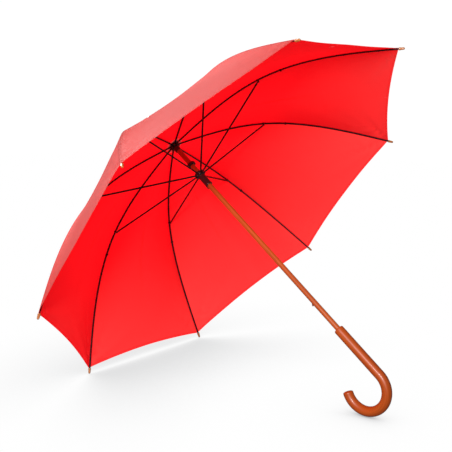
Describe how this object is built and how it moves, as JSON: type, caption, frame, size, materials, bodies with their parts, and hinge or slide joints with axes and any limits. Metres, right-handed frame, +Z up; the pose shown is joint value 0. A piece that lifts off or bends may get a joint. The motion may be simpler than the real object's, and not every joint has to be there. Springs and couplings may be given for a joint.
{
  "type": "stick umbrella",
  "caption": "Open stick umbrella with a red cloth canopy on black ribs and stretchers, a wooden shaft and a crook handle, lying on its rib tips and crook.",
  "frame": {"origin": "centre of the bounding box in X and Y, at the floor the umbrella lies on", "axes": "+Z up; the shaft lies in the XZ plane, with its ferrule towards -X and its crook towards +X; Y runs across the canopy and is its longest extent"},
  "size_m": [0.7322, 0.9748, 0.7743],
  "materials": {
    "canopy_cloth": "plain-woven red cloth",
    "rosette_cloth": "pale pink thin cloth",
    "black_steel": "black enamelled spring steel",
    "black_plastic": "black moulded plastic",
    "shaft_wood": "varnished brown wood",
    "handle_wood": "varnished orange-brown wood",
    "tip_wood": "plain light wood",
    "bright_steel": "bright steel"
  },
  "bodies": {
    "shaft": {"shaft": "shaft_wood", "handle": "handle_wood", "crown": "black_plastic", "crown_wire": "bright_steel", "stop_collar": "black_plastic", "ferrule": "black_plastic", "ferrule_tip": "bright_steel", "rosette": "rosette_cloth"},
    "runner": {"runner": "black_plastic", "runner_wire": "bright_steel"},
    "top_catch": {"top_catch": "bright_steel"},
    "hand_catch": {"hand_catch": "bright_steel"},
    "rib_in_1": {"rib_inner_1": "black_steel", "canopy_inner_1": "canopy_cloth"},
    "rib_out_1": {"rib_outer_1": "black_steel", "rib_tip_1": "tip_wood", "canopy_outer_1": "canopy_cloth"},
    "stretcher_1": {"stretcher_1": "black_steel"},
    "rib_in_2": {"rib_inner_2": "black_steel", "canopy_inner_2": "canopy_cloth"},
    "rib_out_2": {"rib_outer_2": "black_steel", "rib_tip_2": "tip_wood", "canopy_outer_2": "canopy_cloth"},
    "stretcher_2": {"stretcher_2": "black_steel"},
    "rib_in_3": {"rib_inner_3": "black_steel", "canopy_inner_3": "canopy_cloth"},
    "rib_out_3": {"rib_outer_3": "black_steel", "rib_tip_3": "tip_wood", "canopy_outer_3": "canopy_cloth"},
    "stretcher_3": {"stretcher_3": "black_steel"},
    "rib_in_4": {"rib_inner_4": "black_steel", "canopy_inner_4": "canopy_cloth"},
    "rib_out_4": {"rib_outer_4": "black_steel", "rib_tip_4": "tip_wood", "canopy_outer_4": "canopy_cloth"},
    "stretcher_4": {"stretcher_4": "black_steel"},
    "rib_in_5": {"rib_inner_5": "black_steel", "canopy_inner_5": "canopy_cloth"},
    "rib_out_5": {"rib_outer_5": "black_steel", "rib_tip_5": "tip_wood", "canopy_outer_5": "canopy_cloth"},
    "stretcher_5": {"stretcher_5": "black_steel"},
    "rib_in_6": {"rib_inner_6": "black_steel", "canopy_inner_6": "canopy_cloth"},
    "rib_out_6": {"rib_outer_6": "black_steel", "rib_tip_6": "tip_wood", "canopy_outer_6": "canopy_cloth"},
    "stretcher_6": {"stretcher_6": "black_steel"},
    "rib_in_7": {"rib_inner_7": "black_steel", "canopy_inner_7": "canopy_cloth"},
    "rib_out_7": {"rib_outer_7": "black_steel", "rib_tip_7": "tip_wood", "canopy_outer_7": "canopy_cloth"},
    "stretcher_7": {"stretcher_7": "black_steel"},
    "rib_in_8": {"rib_inner_8": "black_steel", "canopy_inner_8": "canopy_cloth"},
    "rib_out_8": {"rib_outer_8": "black_steel", "rib_tip_8": "tip_wood", "canopy_outer_8": "canopy_cloth"},
    "stretcher_8": {"stretcher_8": "black_steel"}
  },
  "joints": [
    {"name": "runner_slide", "type": "slide", "parent": "shaft", "child": "runner", "axis": [0.7921, 0, -0.6104], "range_m": [0, 0.38835]},
    {"name": "top_catch_press", "type": "slide", "parent": "shaft", "child": "top_catch", "axis": [0.6104, 0, 0.7921], "range_m": [0, 0.004], "stiffness_N_per_m": 1500},
    {"name": "hand_catch_press", "type": "slide", "parent": "shaft", "child": "hand_catch", "axis": [0.6104, 0, 0.7921], "range_m": [0, 0.004], "stiffness_N_per_m": 1500},
    {"name": "rib_fold_1", "type": "hinge", "parent": "shaft", "child": "rib_in_1", "pos_m": [-0.23799, 0.00352, 0.55048], "axis": [-0.2336, 0.9239, -0.3031], "range_deg": [0, 78.81], "deforming": ["canopy_inner_1"]},
    {"name": "rib_straighten_1", "type": "hinge", "parent": "rib_in_1", "child": "rib_out_1", "pos_m": [-0.06394, 0.09799, 0.7043], "axis": [0.2336, -0.9239, 0.3031], "range_deg": [0, 28.01], "deforming": ["canopy_outer_1"]},
    {"name": "stretcher_fold_1", "type": "hinge", "parent": "rib_in_1", "child": "stretcher_1", "pos_m": [-0.06447, 0.09583, 0.69813], "axis": [0.2336, -0.9239, 0.3031], "range_deg": [0, 155.72]},
    {"name": "rib_fold_2", "type": "hinge", "parent": "shaft", "child": "rib_in_2", "pos_m": [-0.24103, 0.0085, 0.54654], "axis": [-0.5639, 0.3827, -0.7318], "range_deg": [0, 78.81], "deforming": ["canopy_inner_2"]},
    {"name": "rib_straighten_2", "type": "hinge", "parent": "rib_in_2", "child": "rib_out_2", "pos_m": [-0.14852, 0.23657, 0.59452], "axis": [0.5639, -0.3827, 0.7318], "range_deg": [0, 28.01], "deforming": ["canopy_outer_2"]},
    {"name": "stretcher_fold_2", "type": "hinge", "parent": "rib_in_2", "child": "stretcher_2", "pos_m": [-0.14719, 0.23136, 0.59078], "axis": [0.5639, -0.3827, 0.7318], "range_deg": [0, 155.72]},
    {"name": "rib_fold_3", "type": "hinge", "parent": "shaft", "child": "rib_in_3", "pos_m": [-0.24532, 0.0085, 0.54096], "axis": [-0.5639, -0.3827, -0.7318], "range_deg": [0, 78.81], "deforming": ["canopy_inner_3"]},
    {"name": "rib_straighten_3", "type": "hinge", "parent": "rib_in_3", "child": "rib_out_3", "pos_m": [-0.26814, 0.23657, 0.43928], "axis": [0.5639, 0.3827, 0.7318], "range_deg": [0, 28.01], "deforming": ["canopy_outer_3"]},
    {"name": "stretcher_fold_3", "type": "hinge", "parent": "rib_in_3", "child": "stretcher_3", "pos_m": [-0.26418, 0.23136, 0.43895], "axis": [0.5639, 0.3827, 0.7318], "range_deg": [0, 155.72]},
    {"name": "rib_fold_4", "type": "hinge", "parent": "shaft", "child": "rib_in_4", "pos_m": [-0.24836, 0.00352, 0.53702], "axis": [-0.2336, -0.9239, -0.3031], "range_deg": [0, 78.81], "deforming": ["canopy_inner_4"]},
    {"name": "rib_straighten_4", "type": "hinge", "parent": "rib_in_4", "child": "rib_out_4", "pos_m": [-0.35272, 0.09799, 0.3295], "axis": [0.2336, 0.9239, 0.3031], "range_deg": [0, 28.01], "deforming": ["canopy_outer_4"]},
    {"name": "stretcher_fold_4", "type": "hinge", "parent": "rib_in_4", "child": "stretcher_4", "pos_m": [-0.3469, 0.09583, 0.33159], "axis": [0.2336, 0.9239, 0.3031], "range_deg": [0, 155.72]},
    {"name": "rib_fold_5", "type": "hinge", "parent": "shaft", "child": "rib_in_5", "pos_m": [-0.24836, -0.00352, 0.53702], "axis": [0.2336, -0.9239, 0.3031], "range_deg": [0, 78.81], "deforming": ["canopy_inner_5"]},
    {"name": "rib_straighten_5", "type": "hinge", "parent": "rib_in_5", "child": "rib_out_5", "pos_m": [-0.35272, -0.09799, 0.3295], "axis": [-0.2336, 0.9239, -0.3031], "range_deg": [0, 28.01], "deforming": ["canopy_outer_5"]},
    {"name": "stretcher_fold_5", "type": "hinge", "parent": "rib_in_5", "child": "stretcher_5", "pos_m": [-0.3469, -0.09583, 0.33159], "axis": [-0.2336, 0.9239, -0.3031], "range_deg": [0, 155.72]},
    {"name": "rib_fold_6", "type": "hinge", "parent": "shaft", "child": "rib_in_6", "pos_m": [-0.24532, -0.0085, 0.54096], "axis": [0.5639, -0.3827, 0.7318], "range_deg": [0, 78.81], "deforming": ["canopy_inner_6"]},
    {"name": "rib_straighten_6", "type": "hinge", "parent": "rib_in_6", "child": "rib_out_6", "pos_m": [-0.26814, -0.23657, 0.43928], "axis": [-0.5639, 0.3827, -0.7318], "range_deg": [0, 28.01], "deforming": ["canopy_outer_6"]},
    {"name": "stretcher_fold_6", "type": "hinge", "parent": "rib_in_6", "child": "stretcher_6", "pos_m": [-0.26418, -0.23136, 0.43895], "axis": [-0.5639, 0.3827, -0.7318], "range_deg": [0, 155.72]},
    {"name": "rib_fold_7", "type": "hinge", "parent": "shaft", "child": "rib_in_7", "pos_m": [-0.24103, -0.0085, 0.54654], "axis": [0.5639, 0.3827, 0.7318], "range_deg": [0, 78.81], "deforming": ["canopy_inner_7"]},
    {"name": "rib_straighten_7", "type": "hinge", "parent": "rib_in_7", "child": "rib_out_7", "pos_m": [-0.14852, -0.23657, 0.59452], "axis": [-0.5639, -0.3827, -0.7318], "range_deg": [0, 28.01], "deforming": ["canopy_outer_7"]},
    {"name": "stretcher_fold_7", "type": "hinge", "parent": "rib_in_7", "child": "stretcher_7", "pos_m": [-0.14719, -0.23136, 0.59078], "axis": [-0.5639, -0.3827, -0.7318], "range_deg": [0, 155.72]},
    {"name": "rib_fold_8", "type": "hinge", "parent": "shaft", "child": "rib_in_8", "pos_m": [-0.23799, -0.00352, 0.55048], "axis": [0.2336, 0.9239, 0.3031], "range_deg": [0, 78.81], "deforming": ["canopy_inner_8"]},
    {"name": "rib_straighten_8", "type": "hinge", "parent": "rib_in_8", "child": "rib_out_8", "pos_m": [-0.06394, -0.09799, 0.7043], "axis": [-0.2336, -0.9239, -0.3031], "range_deg": [0, 28.01], "deforming": ["canopy_outer_8"]},
    {"name": "stretcher_fold_8", "type": "hinge", "parent": "rib_in_8", "child": "stretcher_8", "pos_m": [-0.06447, -0.09583, 0.69813], "axis": [-0.2336, -0.9239, -0.3031], "range_deg": [0, 155.72]}
  ],
  "couplings": [
    {"joint": "rib_fold_1", "follows": "runner_slide", "rad_per_m": 3.5414},
    {"joint": "rib_straighten_1", "follows": "runner_slide", "rad_per_m": 1.2584},
    {"joint": "stretcher_fold_1", "follows": "runner_slide", "rad_per_m": 6.998},
    {"joint": "rib_fold_2", "follows": "runner_slide", "rad_per_m": 3.5414},
    {"joint": "rib_straighten_2", "follows": "runner_slide", "rad_per_m": 1.2584},
    {"joint": "stretcher_fold_2", "follows": "runner_slide", "rad_per_m": 6.998},
    {"joint": "rib_fold_3", "follows": "runner_slide", "rad_per_m": 3.5414},
    {"joint": "rib_straighten_3", "follows": "runner_slide", "rad_per_m": 1.2584},
    {"joint": "stretcher_fold_3", "follows": "runner_slide", "rad_per_m": 6.998},
    {"joint": "rib_fold_4", "follows": "runner_slide", "rad_per_m": 3.5414},
    {"joint": "rib_straighten_4", "follows": "runner_slide", "rad_per_m": 1.2584},
    {"joint": "stretcher_fold_4", "follows": "runner_slide", "rad_per_m": 6.998},
    {"joint": "rib_fold_5", "follows": "runner_slide", "rad_per_m": 3.5414},
    {"joint": "rib_straighten_5", "follows": "runner_slide", "rad_per_m": 1.2584},
    {"joint": "stretcher_fold_5", "follows": "runner_slide", "rad_per_m": 6.998},
    {"joint": "rib_fold_6", "follows": "runner_slide", "rad_per_m": 3.5414},
    {"joint": "rib_straighten_6", "follows": "runner_slide", "rad_per_m": 1.2584},
    {"joint": "stretcher_fold_6", "follows": "runner_slide", "rad_per_m": 6.998},
    {"joint": "rib_fold_7", "follows": "runner_slide", "rad_per_m": 3.5414},
    {"joint": "rib_straighten_7", "follows": "runner_slide", "rad_per_m": 1.2584},
    {"joint": "stretcher_fold_7", "follows": "runner_slide", "rad_per_m": 6.998},
    {"joint": "rib_fold_8", "follows": "runner_slide", "rad_per_m": 3.5414},
    {"joint": "rib_straighten_8", "follows": "runner_slide", "rad_per_m": 1.2584},
    {"joint": "stretcher_fold_8", "follows": "runner_slide", "rad_per_m": 6.998}
  ]
}
